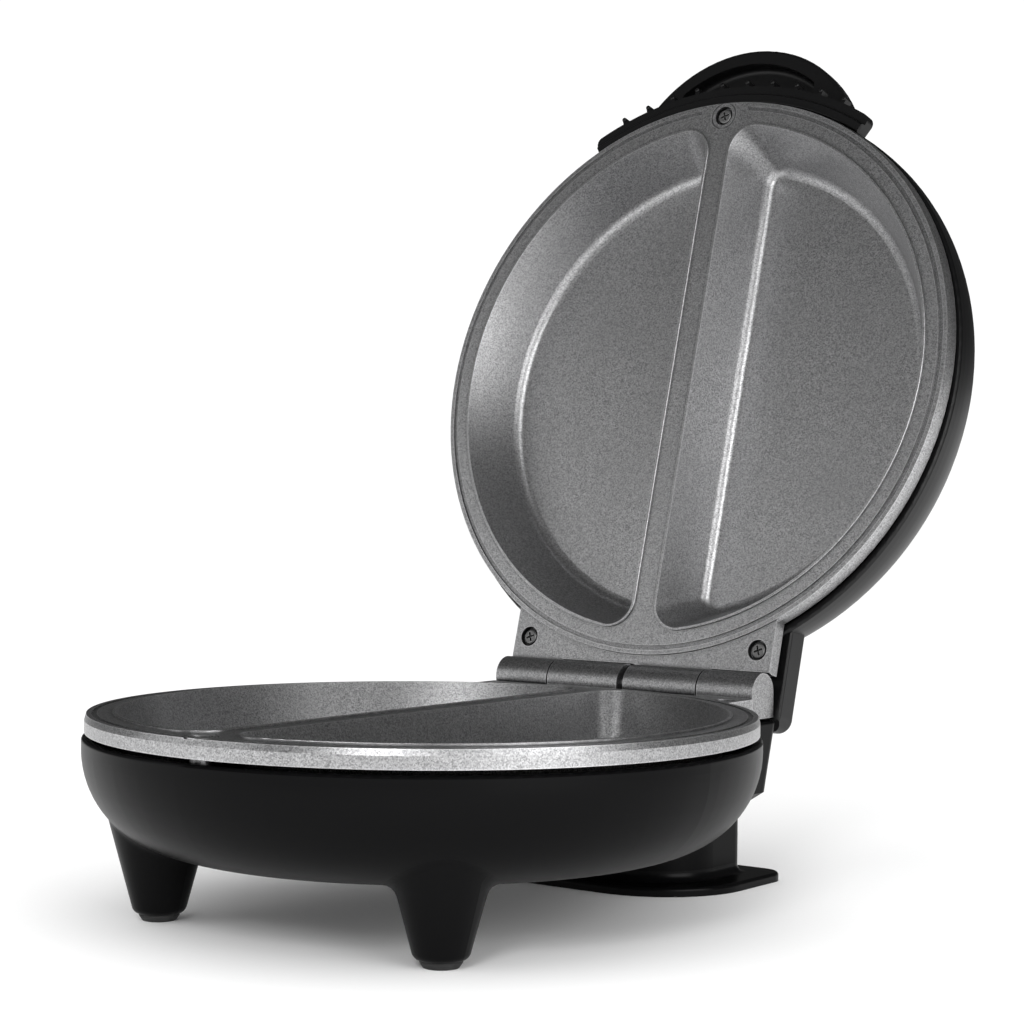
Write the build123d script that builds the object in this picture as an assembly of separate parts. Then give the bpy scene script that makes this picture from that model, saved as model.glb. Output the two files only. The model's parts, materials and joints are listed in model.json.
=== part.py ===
"""Two-pocket electric omelette griddle: a hinged clamshell with non-stick cast plates.

Frame: millimetres, +Z up, the table at Z = 0, the bowl's upright centre line on the Z axis,
the user in front at -Y and the hinge at the back at +Y. The lid is designed closed and is
then turned open about the hinge, which is how the model rests.
"""
from build123d import *
import os
from math import acos, cos, degrees, radians, sin, sqrt, tan

# ---------------------------------------------------------------- overall
plate_radius = 95.0          # rim of both cooking plates
flange_height = 57.7         # table to the base plate's flat flange
lip_height = 0.6             # raised lip round each pocket
lip_gap = 0.3                # between the two plates' lips when closed
open_angle = 105.4           # lid at rest, from closed
hinge_setback = 9.4          # hinge axis behind the plates' rim
fit_gap = 0.05               # between screws, pins and their holes, on the radius
seat_gap = 0.2               # between parts that slip into each other

hinge_y = plate_radius + hinge_setback
hinge_z = flange_height + lip_height + lip_gap / 2   # axis lies midway between the plates
lid_flange_z = 2 * hinge_z - flange_height           # lid's flange when closed
hinge_axis = Axis((0, hinge_y, hinge_z), (1, 0, 0))
flip_axis = Axis((0, 0, hinge_z), (0, 1, 0))

# ---------------------------------------------------------------- cooking plates
rim_depth = 5.2              # outer side of the plate
rim_bevel_height = 1.7       # slightly inclined band at the top of the side
rim_bevel_inset = 0.5
flange_thickness = 3.2
skirt_thickness = 3.0
plate_wall = 3.0             # cast wall round and under the pockets
flange_width = 8.8           # rim to the pocket's outer arc
pocket_side_x = 4.7          # divider side of the pocket at the flange
pocket_corner = 8.5
pocket_depth = 18.3
pocket_outer_draft = 24.5    # degrees, outer wall
pocket_side_draft = 17.5     # degrees, divider wall
pocket_floor_corner = 6.0
pocket_floor_fillet = 4.0
lip_width = 1.1
groove_inset = 2.7           # shallow ring groove, in from the rim
groove_width = 1.5
groove_depth = 0.5
groove_break = 5.5           # degrees left free each side of the front screw
lug_half_width = 49.3        # square lug that carries the knuckles
lug_step = 0.6               # lug face lies this much below the round face
front_screw_inset = 5.0      # in from the rim
lug_screw_inset = 5.5        # in from the lug's side
lug_screw_setback = 4.3      # in from the rim
screw_radius = 1.5
screw_head_radius = 2.55
screw_head_height = 1.7
counterbore_radius = 3.3
counterbore_depth = 2.2
plate_boss_radius = 2.9
plate_boss_drop = 7.7        # flange to the foot of the plate's screw bosses

# ---------------------------------------------------------------- hinge
knuckle_radius = 6.3
knuckle_block = 7.7          # depth of the square part of a knuckle from the axis
knuckle_end = 49.0           # outer end of the outermost knuckle
knuckle_split = 28.5         # meeting of outer and inner knuckle
knuckle_gap = 0.5            # between knuckles
knuckle_centre_gap = 2.4     # between the two inner knuckles
knuckle_clear = 0.7          # plate edge clear of the other plate's knuckles
pin_radius = 2.0
pin_blind_wall = 3.0         # metal left beyond the blind end of the pin hole

# ---------------------------------------------------------------- base housing
wall = 2.2
base_rim_overhang = 0.8      # rim stands out past the plate
base_rim_drop = 6.5          # rim below the flange
bowl_fillet = 28.0           # bowl's rounded bottom edge
bowl_arc_drop = 9.7          # flange down to where the upright wall turns into that fillet
rim_round = 0.8
leg_x = 50.2
leg_setback = 40.7           # leg's centre behind the plates' front rim
leg_foot_height = 1.9        # leg's end above the table, on its pad
leg_foot_radius = 7.1
leg_root_radius = 15.55      # at its upper end, inside the bowl
leg_reach = 13.0             # leg runs this far up into the bowl
leg_root_fillet = 4.0
leg_foot_round = 2.4
pad_radius = 5.6
pad_foot_radius = 4.7
pad_recess = 2.0
box_overhang = 1.7           # hinge box stands out past the plate's lug
box_rear_overhang = 6.9      # box's top edge behind the hinge axis
box_top_drop = 7.8           # flange to the box's top
box_side_lean = 1.4          # box is this much narrower where it turns in to the pillar
box_rear_lean = 3.7
box_foot_rise = 8.2          # that turn above the bowl's bottom
box_corner = 4.0
box_front_inset = 35.0       # box's front, hidden in the bowl, in from the rim
box_floor_rise = 4.8
pillar_inset = 8.6           # pillar's sides in from the box's
pillar_front_inset = 25.5    # in from the rim
pillar_rear_inset = 0.3      # in from the box's foot
pillar_front_corner = 20.0
pillar_rear_corner = 5.0
pillar_top_rise = 2.8
pillar_foot = 6.0
pillar_roof_drop = 0.2
boss_radius = 3.8
cord_hole_x = -28.0
cord_hole_rise = 18.0        # above the bowl's bottom

# ---------------------------------------------------------------- rear foot plate
foot_flange = 9.8            # how far the plate stands out round the pillar
foot_thickness = 2.8
foot_edge_round = 1.1
foot_fillet = 2.6
foot_shell = 2.4
foot_plug_height = 3.0
foot_screw_x = 26.0
foot_screw_inset = 17.3      # in from the pillar's rear

# ---------------------------------------------------------------- lid housing
dome_overhang = 1.4          # dome stands out past the plate
dome_centre_y = 1.0
dome_rim_depth = 6.5         # rim below the lid plate's flange face
dome_arc_depth = 9.8
dome_fillet = 28.0
lid_box_rear_reach = 9.6     # lid's box behind the hinge axis
lid_box_height = 16.8        # its floor's depth from the flange face
lid_box_corner = 4.5
lid_box_edge_round = 1.6
saddle_inset = 4.5           # sloping roof between the hinge box and the dome, in from the box's sides
saddle_front_inset = 29.0    # in from the rim
saddle_crest_inset = 7.0
saddle_rear_reach = 4.6      # behind the hinge axis
saddle_crest_depth = 20.5
saddle_front_depth = 27.0
saddle_round = 5.0
stop_clear = 0.2             # each box keeps this far from the plane where they meet when open
collar_clear = 0.3           # collar outside the plate's rim
collar_thickness = 6.4
collar_half_angle = 32.0     # degrees each side of the front
collar_low = 2.2             # depth of its front face from the flange face
collar_step = 1.3            # outer half of the face is set back this much
collar_step_width = 3.1
collar_high = 7.6
collar_end_round = 2.6
nub_count = 10
nub_pitch = 5.5              # degrees
nub_radius = 0.8
nub_reach = 2.2
nub_low = 2.9
nub_high = 7.2
visor_radius = 46.6          # crescent handle in plan
visor_inset = 23.0           # its centre, in from the rim
visor_low = 11.5
visor_high = 20.5
visor_wall = 5.0
visor_recess_depth = 5.0
visor_recess_half_width = 26.0
visor_edge_top = 4.5
visor_edge_low = 1.2
lamp_x = 9.5
lamp_inset = 33.0            # in from the rim
lens_radius = 3.0
lens_flange_radius = 4.2
lens_flange = 1.0
lens_proud = 0.9

# ---------------------------------------------------------------- heating and wiring
element_radius = 3.3
element_inset = 43.0         # loop's centre line, in from the rim
element_end_angle = 60.0     # degrees, where the loop leaves its circle
element_bend = 12.0
element_tail = 8.0
channel_wall = 2.0
bush_radius = 3.1
bush_length = 9.0
tab_width = 6.3
tab_thickness = 0.8
tab_length = 8.0
clamp_angles = (-155, -115, -65, -25)
clamp_length = 24.0
clamp_width = 10.0
clamp_thickness = 1.0
clamp_screw_offset = 12.0    # clamp screws outside the loop
post_x = 50.0
post_y = 42.0
post_radius = 3.5
shield_clear = 2.5           # heat shield below the element's channel
shield_thickness = 0.6
shield_inset = 18.0          # in from the rim
shield_rim_flare = 6.0
shield_rim_height = 6.0
shield_notch_half_width = 31.0
shield_notch_inset = 29.0    # in from the rim
small_screw_radius = 1.3
small_head_radius = 2.3
small_head_height = 1.3
thermostat_x = 31.0
thermostat_y = 4.0
thermostat_radius = 8.0
thermostat_height = 6.6
fuse_x = -31.0
fuse_y = 4.0
fuse_radius = 2.6
fuse_length = 30.0
lead_radius = 1.1
lead_clear = 1.2             # leads pass this far below the channel

lamp_post_x = 21.0
lamp_post_height = 3.0
lamp_radius = 2.6
lamp_cup_radius = 3.8

# ---------------------------------------------------------------- terminal block and cord inlet
block_screw_x = 19.0
block_setback = 14.6         # block's centre in from the box's rear foot
block_rise = 8.0             # block's underside above the bowl's bottom
block_half_length = 16.0
block_half_width = 7.0
block_height = 12.0
gland_hole_radius = 5.2
gland_bore_radius = 3.3
gland_flange_radius = 7.0
gland_flange = 1.8

# ---------------------------------------------------------------- worked out from the above
pocket_radius = plate_radius - flange_width
groove_radius = plate_radius - groove_inset
front_screw_y = front_screw_inset - plate_radius
lug_screw_x = lug_half_width - lug_screw_inset
lug_screw_y = plate_radius - lug_screw_setback
plate_boss_foot = flange_height - plate_boss_drop
plate_foot = flange_height - rim_depth
floor_under = flange_height - pocket_depth - plate_wall
lug_edge_y = hinge_y - knuckle_radius - seat_gap

base_rim_radius = plate_radius + base_rim_overhang
base_rim_height = flange_height - base_rim_drop
bowl_arc_top = flange_height - bowl_arc_drop
bowl_bottom = bowl_arc_top - bowl_fillet
leg_y = leg_setback - plate_radius
leg_top = bowl_bottom + leg_reach
box_half_width = lug_half_width + box_overhang
box_rear_y = hinge_y + box_rear_overhang
box_top = flange_height - box_top_drop
box_foot_half_width = box_half_width - box_side_lean
box_foot_rear_y = box_rear_y - box_rear_lean
box_foot_height = bowl_bottom + box_foot_rise
box_front_y = plate_radius - box_front_inset
box_floor = bowl_bottom + box_floor_rise
pillar_half_width = box_foot_half_width - pillar_inset
pillar_front_y = plate_radius - pillar_front_inset
pillar_rear_y = box_foot_rear_y - pillar_rear_inset
pillar_top = bowl_bottom + pillar_top_rise
pillar_hollow_top = bowl_bottom - pillar_roof_drop
foot_screw_y = pillar_rear_y - foot_screw_inset
cord_hole_z = bowl_bottom + cord_hole_rise
gland_inner_y = box_foot_rear_y - 0.2
block_y = box_foot_rear_y - block_setback
block_foot = bowl_bottom + block_rise

dome_radius = plate_radius + dome_overhang
dome_inside = dome_arc_depth + dome_fillet - wall     # depth of the dome's inner face
dome_outside = dome_arc_depth + dome_fillet
stop_slope = open_angle / 2  # that plane's fall behind the hinge axis, degrees
lid_box_half_width = box_half_width
lid_box_rear_y = hinge_y + lid_box_rear_reach
saddle_half_width = lid_box_half_width - saddle_inset
saddle_front_y = plate_radius - saddle_front_inset
saddle_crest_y = plate_radius - saddle_crest_inset
saddle_rear_y = hinge_y + saddle_rear_reach
collar_inner = plate_radius + collar_clear
collar_outer = collar_inner + collar_thickness
visor_centre_y = visor_inset - plate_radius
lamp_y = lamp_inset - plate_radius

element_loop_radius = plate_radius - element_inset
element_z = floor_under - element_radius - fit_gap
channel_foot = element_z - element_radius - fit_gap
clamp_screw_radius = element_loop_radius + clamp_screw_offset
shield_top = channel_foot - shield_clear
shield_height = shield_top - shield_thickness
shield_radius = plate_radius - shield_inset
shield_rim_radius = shield_radius + shield_rim_flare
shield_notch_y = plate_radius - shield_notch_inset
lead_height = channel_foot - lead_clear


# ---------------------------------------------------------------- small helpers
def block(x0, x1, y0, y1, z0, z1):
    """A box between two corners."""
    return Pos((x0 + x1) / 2, (y0 + y1) / 2, (z0 + z1) / 2) * Box(x1 - x0, y1 - y0, z1 - z0)


def rod(radius, x, y, z0, z1):
    """An upright cylinder."""
    return Pos(x, y, (z0 + z1) / 2) * Cylinder(radius, z1 - z0)


def rod_x(radius, x0, x1, y, z):
    """A cylinder along X."""
    return Pos((x0 + x1) / 2, y, z) * Rot(0, 90, 0) * Cylinder(radius, x1 - x0)


def rod_y(radius, x, y0, y1, z):
    """A cylinder along Y."""
    return Pos(x, (y0 + y1) / 2, z) * Rot(90, 0, 0) * Cylinder(radius, y1 - y0)


def prism(sketch, z0, z1):
    """A flat outline raised from z0 to z1."""
    return extrude(Pos(0, 0, z0) * sketch, amount=z1 - z0, dir=(0, 0, 1))


def tapered(low, high, z0, z1):
    """A straight-sided body between two outlines of the same kind."""
    return loft([(Pos(0, 0, z0) * low).face(), (Pos(0, 0, z1) * high).face()], ruled=True)


def sector(radius, middle, half_angle):
    """A pie slice from the centre, used to keep or cut a stretch of a ring (degrees)."""
    reach = 2 * radius
    a, b = radians(middle - half_angle), radians(middle + half_angle)
    corners = [(0, 0), (reach * cos(a), reach * sin(a)), (reach * cos(b), reach * sin(b))]
    return make_face(Polyline(*corners, close=True))


def mirrored_pair(maker):
    """The same feature on the right and on the left."""
    return [maker(1), maker(-1)]


def lid_side(shape):
    """Turn a base-side shape over into its place on the closed lid."""
    return shape.rotate(flip_axis, 180)


def opened(shape):
    """Turn a closed-lid shape to where the open lid rests."""
    return shape.rotate(hinge_axis, -open_angle)


def small_screw(x, y, head_z, length):
    """A pan-head screw driven upwards, head underneath at head_z."""
    head = rod(small_head_radius, x, y, head_z - small_head_height, head_z)
    head = fillet(head.edges().group_by(Axis.Z)[0], 0.5)
    cross = block(-1.4, 1.4, -0.3, 0.3, -0.1, 0.7) + block(-0.3, 0.3, -1.4, 1.4, -0.1, 0.7)
    head -= Pos(x, y, head_z - small_head_height) * cross
    return head + rod(small_screw_radius, x, y, head_z, head_z + length)


# ---------------------------------------------------------------- cooking plate
def pocket_outline(outer, side, corner):
    """D-shaped outline of the right-hand pocket."""
    half_disc = Circle(outer) & Pos(side + outer, 0) * Rectangle(2 * outer, 2 * outer)
    return fillet(half_disc.vertices(), corner)


def pocket_body(grow, top, floor):
    """Tapered pocket, grown outwards by a wall where wanted, with a rounded floor edge."""
    drop = flange_height - floor
    taper_outer = tan(radians(pocket_outer_draft))
    taper_side = tan(radians(pocket_side_draft))
    low = pocket_outline(pocket_radius + grow - drop * taper_outer,
                         pocket_side_x - grow + drop * taper_side,
                         pocket_floor_corner + grow)
    rise = top - flange_height
    high = pocket_outline(pocket_radius + grow + rise * taper_outer,
                          pocket_side_x - grow - rise * taper_side,
                          pocket_corner + grow)
    body = tapered(low, high, floor, top)
    floor_edges = body.faces().sort_by(Axis.Z)[0].edges()
    return fillet(floor_edges, pocket_floor_fillet + grow)


def plate_outline(inset=0.0):
    """Round plate with the square lug that carries the knuckles."""
    lug = Pos(0, (lug_edge_y - inset) / 2) * Rectangle(2 * (lug_half_width - inset), lug_edge_y - inset)
    return Circle(plate_radius - inset) + lug


def knuckle(x0, x1):
    """One knuckle: round about the axis, square on the side of its own plate."""
    barrel = rod_x(knuckle_radius, x0, x1, hinge_y, hinge_z)
    foot = block(x0, x1, hinge_y - knuckle_radius, hinge_y + knuckle_radius,
                 hinge_z - knuckle_block, hinge_z)
    bridge = block(x0, x1, lug_edge_y - 1.0, hinge_y - knuckle_radius + 1.0,
                   plate_foot, flange_height - lug_step)
    bridge -= rod_x(knuckle_radius - 0.5, x0, x1, hinge_y, hinge_z)
    return barrel + foot + bridge


def pocket_lip(side):
    """Thin raised lip round one pocket."""
    outer = pocket_outline(pocket_radius + lip_width, pocket_side_x - lip_width, pocket_corner + lip_width)
    inner = pocket_outline(pocket_radius - lip_width / 2, pocket_side_x + lip_width / 2,
                           pocket_corner - lip_width / 2)
    lip = prism(outer - inner, flange_height - 0.5, flange_height + lip_height)
    lip = fillet(lip.edges().group_by(Axis.Z)[-1], 0.25)
    return lip if side > 0 else lip.mirror(Plane.YZ)


def screw_places():
    """The three screws that hold each plate, as (x, y)."""
    return [(0, front_screw_y), (lug_screw_x, lug_screw_y), (-lug_screw_x, lug_screw_y)]


def cooking_plate():
    """The base's cooking plate; the lid's is the same casting turned over."""
    top_face_radius = plate_radius - rim_bevel_inset
    bevel_foot = flange_height - rim_bevel_height
    slab_foot = flange_height - flange_thickness
    profile = Polyline((0, flange_height), (top_face_radius, flange_height), (plate_radius, bevel_foot),
                       (0, bevel_foot), close=True)
    plate = revolve(Plane.XZ * make_face(profile), Axis.Z)
    lug = Pos(0, lug_edge_y / 2) * Rectangle(2 * lug_half_width, lug_edge_y)
    plate += prism(lug, bevel_foot, flange_height - lug_step)
    plate += prism(plate_outline(), slab_foot, bevel_foot)
    plate += prism(plate_outline() - plate_outline(skirt_thickness), plate_foot, slab_foot)
    ring = Circle(groove_radius + groove_width / 2) - Circle(groove_radius - groove_width / 2)
    ring -= sector(plate_radius, -90, groove_break)
    plate -= prism(ring, flange_height - groove_depth, flange_height + 1)
    right = pocket_body(plate_wall, flange_height - 0.4, flange_height - pocket_depth - plate_wall)
    plate += [right, right.mirror(Plane.YZ)]
    plate += mirrored_pair(pocket_lip)
    hollow = pocket_body(0, flange_height + 1, flange_height - pocket_depth)
    plate -= [hollow, hollow.mirror(Plane.YZ)]
    for x, y in screw_places():
        plate += rod(plate_boss_radius, x, y, plate_boss_foot, flange_height - flange_thickness + 0.2)
    plate = plate - front_surround()
    for x, y in screw_places():
        face = flange_height - (lug_step if y > 0 else 0)
        plate -= rod(counterbore_radius, x, y, face - counterbore_depth, face + 1)
        plate -= rod(screw_radius + fit_gap, x, y, plate_boss_foot - 1, face)
    # element channel: two ribs under the pocket floors
    path = element_path()
    channel = element_band(element_radius + channel_wall) - element_band(element_radius + fit_gap)
    plate += prism(channel, channel_foot, floor_under + 0.5)
    for x in (post_x, -post_x):
        for y in (post_y, -post_y):
            plate += rod(post_radius, x, y, shield_top, floor_under + 0.5)
            plate -= rod(small_screw_radius + fit_gap, x, y, shield_top - 1, shield_top + 7)
    for x, y in clamp_screws():
        plate += rod(post_radius, x, y, channel_foot, floor_under + 0.5)
        plate -= rod(small_screw_radius + fit_gap, x, y, channel_foot - 1, channel_foot + 5)
    return plate


def front_surround():
    """Fine ring line round the front screw, where the ring groove stops."""
    ring = Circle(counterbore_radius + 1.5) - Circle(counterbore_radius + 0.9)
    return prism(Pos(0, front_screw_y) * ring, flange_height - 0.35, flange_height + 1)


def knuckle_spans():
    """X ranges of the base plate's two knuckles; the lid's are these turned over."""
    half_gap = knuckle_gap / 2
    return [(-knuckle_split + half_gap, -knuckle_centre_gap / 2), (knuckle_split + half_gap, knuckle_end)]


def with_knuckles(plate):
    """Add the base plate's knuckles and clear its edge for the other plate's."""
    for x0, x1 in knuckle_spans():
        other = rod_x(knuckle_radius + knuckle_clear, -x1 - knuckle_gap, -x0 + knuckle_gap, hinge_y, hinge_z)
        plate -= other
    for x0, x1 in knuckle_spans():
        plate += knuckle(x0, x1)
    return plate


def pin_span():
    """The pin runs from the lid's outer knuckle to a blind end in the base's outer knuckle."""
    return -knuckle_end + 0.4, knuckle_end - pin_blind_wall


def plate_screws():
    """Countersunk-look pan screws in the counterbores, one group for one plate."""
    group = []
    for x, y in screw_places():
        face = flange_height - (lug_step if y > 0 else 0)
        floor = face - counterbore_depth
        head = rod(screw_head_radius, x, y, floor, floor + screw_head_height)
        head = fillet(head.edges().group_by(Axis.Z)[-1], 0.7)
        arms = block(-1.6, 1.6, -0.35, 0.35, -0.9, 1) + block(-0.35, 0.35, -1.6, 1.6, -0.9, 1)
        head -= Pos(x, y, floor + screw_head_height) * Rot(0, 0, 20) * arms
        group.append(head + rod(screw_radius, x, y, plate_boss_foot - 8, floor))
    return group


# ---------------------------------------------------------------- heating element
def element_path():
    """Centre line of the loop under the plate, right end first."""
    start = CenterArc((0, 0), element_loop_radius, element_end_angle, -(180 + 2 * element_end_angle))
    right_bend = JernArc(start @ 0, (start % 0) * -1, element_bend, -element_end_angle)
    left_bend = JernArc(start @ 1, start % 1, element_bend, element_end_angle)
    right_tail = Line(right_bend @ 1, (right_bend @ 1) + Vector(0, element_tail))
    left_tail = Line(left_bend @ 1, (left_bend @ 1) + Vector(0, element_tail))
    return Wire([right_tail.edge(), right_bend.edge(), start.edge(), left_bend.edge(), left_tail.edge()])


def element_end():
    """Where the right-hand tail ends, as (x, y)."""
    point = element_path() @ 0
    other = element_path() @ 1
    tip = point if point.Y > other.Y or point.X > 0 else other
    return abs(tip.X), tip.Y


def element_band(half_width):
    """Flat band that follows the element's centre line."""
    return trace(element_path(), 2 * half_width)


def heating_element():
    """Sheathed tube in its channel."""
    line = Pos(0, 0, element_z) * element_path()
    section = Plane(line @ 0, z_dir=line % 0) * Circle(element_radius)
    return sweep(section, line)


def element_bushes():
    """Ceramic bush and tab at each end of the element, as separate solids."""
    x, y = element_end()
    group = []
    for side in (1, -1):
        bush = rod_y(bush_radius, side * x, y, y + bush_length, element_z)
        bush = fillet(bush.edges().group_by(Axis.Y)[-1], 0.8)
        slot_gap = block(side * x - tab_width / 2, side * x + tab_width / 2,
                         y + bush_length - 3, y + bush_length + 1,
                         element_z - tab_thickness / 2, element_z + tab_thickness / 2)
        group.append(bush - slot_gap)
    return group


def element_tabs():
    """Push-on tabs that stand out of the bushes."""
    x, y = element_end()
    group = []
    for side in (1, -1):
        tab = block(side * x - tab_width / 2, side * x + tab_width / 2,
                    y + bush_length - 3, y + bush_length + tab_length,
                    element_z - tab_thickness / 2, element_z + tab_thickness / 2)
        tip = tab.edges().filter_by(Axis.Z).group_by(Axis.Y)[-1]
        tab = chamfer(tip, 1.2)
        tab -= rod(0.9, side * x, y + bush_length + tab_length - 3, element_z - 2, element_z + 2)
        group.append(tab)
    return group


def clamp_screws():
    """Screw places of the element clamps, as (x, y)."""
    return [(clamp_screw_radius * cos(radians(a)), clamp_screw_radius * sin(radians(a)))
            for a in clamp_angles]


def element_clamps():
    """Flat steel bars that hold the element up in its channel."""
    group = []
    low = channel_foot - clamp_thickness
    outer = clamp_screw_radius + post_radius
    for angle in clamp_angles:
        middle = outer - clamp_length / 2
        bar = Pos(middle, 0, low + clamp_thickness / 2) * Box(clamp_length, clamp_width, clamp_thickness)
        bar = fillet(bar.edges().filter_by(Axis.Z), 2.0)
        bar -= rod(small_screw_radius + fit_gap, clamp_screw_radius, 0, low - 1, low + 3)
        group.append(Rot(0, 0, angle) * bar)
    return group


def clamp_fixings():
    """Screws of the element clamps."""
    return [small_screw(x, y, channel_foot - clamp_thickness, 5.0) for x, y in clamp_screws()]


def heat_shield():
    """Dished sheet that keeps the element's heat off the housing."""
    t = shield_thickness
    z = shield_height
    profile = Polyline((0, z), (shield_radius, z), (shield_rim_radius, z + shield_rim_height),
                       (shield_rim_radius - t, z + shield_rim_height + t), (shield_radius - t, z + t),
                       (0, z + t), close=True)
    dish = revolve(Plane.XZ * make_face(profile), Axis.Z)
    dish -= block(-shield_notch_half_width, shield_notch_half_width,
                  shield_notch_y, shield_rim_radius + 5, z - 2, z + shield_rim_height + 2)
    for x in (post_x, -post_x):
        for y in (post_y, -post_y):
            dish -= rod(small_screw_radius + fit_gap, x, y, z - 1, z + 2)
    for x, y in clamp_screws():
        dish -= rod(small_head_radius + 1.2, x, y, z - 1, z + 2)
    return dish


def shield_screws():
    """Screws from the heat shield up into the plate's posts."""
    return [small_screw(x, y, shield_height, 6.5) for x in (post_x, -post_x) for y in (post_y, -post_y)]


# ---------------------------------------------------------------- controls inside
def thermostat():
    """Bimetal disc thermostat, its cap against the pocket floor."""
    top = floor_under
    body = rod(thermostat_radius, thermostat_x, thermostat_y, top - thermostat_height, top)
    body = fillet(body.edges().group_by(Axis.Z)[-1], 0.8)
    for side in (1, -1):
        x = thermostat_x + side * (thermostat_radius + 2.0)
        body += block(min(x, x - side * 4), max(x, x - side * 4), thermostat_y - 2.5, thermostat_y + 2.5,
                      top - thermostat_height + 0.4, top - thermostat_height + 1.2)
    return body


def thermostat_bracket():
    """Strap round the thermostat's cap, with an ear at each end on a plate post."""
    top = floor_under
    low = top - 2.0
    reach = thermostat_radius + 6.0
    strap = block(thermostat_x - 4, thermostat_x + 4, thermostat_y - reach, thermostat_y + reach,
                  low - 1.0, low)
    strap = fillet(strap.edges().filter_by(Axis.Z), 2.0)
    collar = rod(thermostat_radius + 1.2, thermostat_x, thermostat_y, low - 1.0, low)
    strap = strap + collar - rod(thermostat_radius + fit_gap, thermostat_x, thermostat_y, low - 3, top + 1)
    for side in (1, -1):
        y = thermostat_y + side * (reach - 2.6)
        strap -= rod(small_screw_radius + fit_gap, thermostat_x, y, low - 3, top)
    return strap


def thermostat_posts():
    """Low bosses under the pocket floor for the bracket's ears."""
    top = floor_under
    reach = thermostat_radius + 6.0
    group = []
    for side in (1, -1):
        y = thermostat_y + side * (reach - 2.6)
        boss = rod(2.5, thermostat_x, y, top - 2.0, top + 0.5)
        group.append(boss)
    return group


def thermostat_screws():
    """Two short screws through the bracket's ears."""
    reach = thermostat_radius + 6.0
    low = floor_under - 3.0
    return [small_screw(thermostat_x, thermostat_y + side * (reach - 2.6), low, 3.4) for side in (1, -1)]


def thermal_fuse():
    """Thermal fuse in its woven sleeve, along Y under the left pocket."""
    z = floor_under - fuse_radius - 0.05
    sleeve = rod_y(fuse_radius, fuse_x, fuse_y - fuse_length / 2, fuse_y + fuse_length / 2, z)
    return fillet(sleeve.edges(), 0.6)


def fuse_clip():
    """Saddle clip that holds the fuse against the plate."""
    z = floor_under - fuse_radius - 0.05
    outer = rod_y(fuse_radius + 0.9, fuse_x, fuse_y - 4, fuse_y + 4, z)
    ear = block(fuse_x - 11, fuse_x, fuse_y - 4, fuse_y + 4, floor_under - 0.9, floor_under - 0.02)
    roof = block(fuse_x - 4, fuse_x + 4, fuse_y - 4, fuse_y + 4, z, floor_under - 0.02)
    clip = (outer + roof + ear) & block(fuse_x - 11, fuse_x + fuse_radius + 0.9, fuse_y - 4, fuse_y + 4,
                                        z - 6, floor_under - 0.02)
    clip -= rod_y(fuse_radius + fit_gap, fuse_x, fuse_y - 5, fuse_y + 5, z)
    clip -= block(fuse_x - fuse_radius - fit_gap, fuse_x + fuse_radius + fit_gap, fuse_y - 5, fuse_y + 5,
                  z, floor_under + 1)
    clip -= rod(small_screw_radius + fit_gap, fuse_x - 7.5, fuse_y, floor_under - 3, floor_under + 1)
    return clip


def fuse_screw():
    """Screw of the fuse clip."""
    return small_screw(fuse_x - 7.5, fuse_y, floor_under - 0.9, 2.6)


# ---------------------------------------------------------------- base housing
def bowl(rim_radius, arc_top, fillet_radius, rim_z, inset, rim=0.0):
    """Round bowl: flat bottom, quarter-round edge, upright wall; inset gives its inside."""
    r = rim_radius - inset
    f = fillet_radius - inset
    bottom = arc_top - f
    flat = Line((0, bottom), (r - f, bottom))
    corner = CenterArc((r - f, arc_top), f, -90, 90)
    outline = [flat, corner]
    if rim > 0:
        outline.append(Line((r, arc_top), (r, rim_z - rim)))
        outline.append(CenterArc((r - rim, rim_z - rim), rim, 0, 90))
        outline.append(Polyline((r - rim, rim_z), (0, rim_z), (0, bottom)))
    else:
        outline.append(Polyline((r, arc_top), (r, rim_z), (0, rim_z), (0, bottom)))
    return revolve(Plane.XZ * make_face(outline), Axis.Z)


def box_outline(half_width, rear_y, inset=0.0):
    """Rounded rectangle of the hinge box."""
    depth = rear_y - box_front_y
    shape = Pos(0, (rear_y - inset + box_front_y) / 2) * Rectangle(2 * (half_width - inset), depth - inset)
    corners = shape.vertices().group_by(Axis.Y)[-1]
    return fillet(corners, max(box_corner - inset, 0.8))


def pillar_outline(grow=0.0):
    """Plan of the pillar: rounded in front, nearly square behind."""
    half = pillar_half_width + grow
    front, rear = pillar_front_y - grow, pillar_rear_y + grow
    shape = Pos(0, (front + rear) / 2) * Rectangle(2 * half, rear - front)
    shape = fillet(shape.vertices().group_by(Axis.Y)[0], pillar_front_corner + grow)
    return fillet(shape.vertices().group_by(Axis.Y)[-1], max(pillar_rear_corner + grow * 0.2, 1.0))


def leg(x, shrink=0.0):
    """Tapered round leg; shrink gives its hollow."""
    height = leg_top - leg_foot_height
    cone = Cone(leg_foot_radius - shrink, leg_root_radius - shrink, height)
    return Pos(x, leg_y, leg_foot_height + height / 2) * cone


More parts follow.
